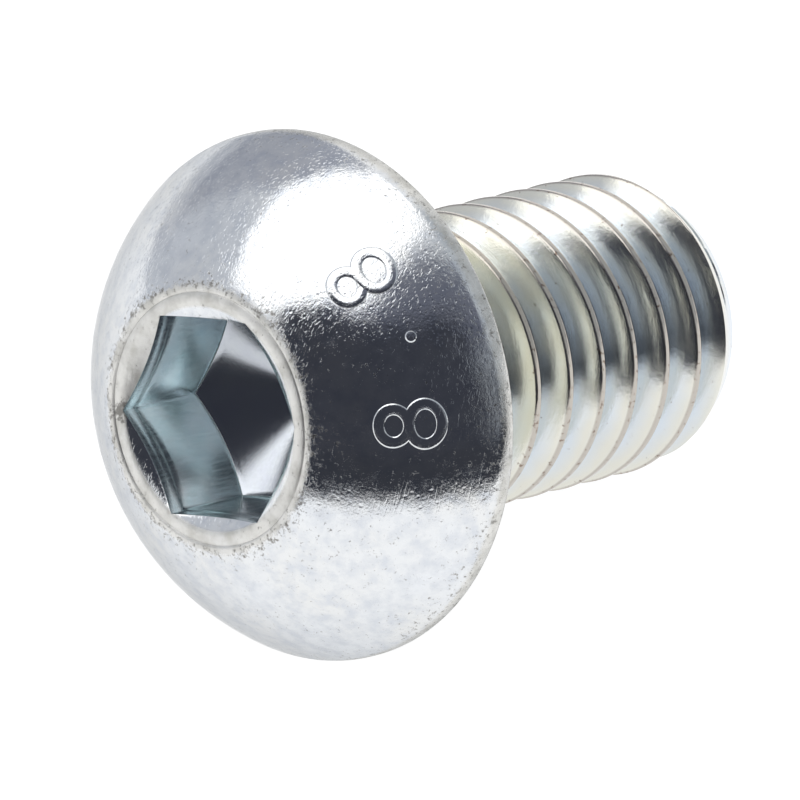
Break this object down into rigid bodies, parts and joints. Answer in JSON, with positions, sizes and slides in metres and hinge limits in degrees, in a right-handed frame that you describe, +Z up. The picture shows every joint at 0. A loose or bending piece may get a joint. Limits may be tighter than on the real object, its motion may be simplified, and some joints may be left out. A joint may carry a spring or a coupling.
{
  "type": "button head screw",
  "caption": "Button head screw: low domed head with a flat ring and a hexagon socket, on a short shank threaded nearly to the head, lying on its side.",
  "frame": {"origin": "on the table, under the middle of the screw as it lies on its side", "axes": "+Z up from the table; +X along the screw towards its tip, seen from above; +Y to the left of that"},
  "size_m": [0.0174, 0.0136, 0.0132],
  "materials": {
    "zinc_plated_steel": "bright zinc electroplate over cold headed steel, glossy on the dome and satin on the ring round the socket and on the rim"
  },
  "bodies": {
    "root": {"button_head_screw": "zinc_plated_steel"}
  },
  "joints": []
}
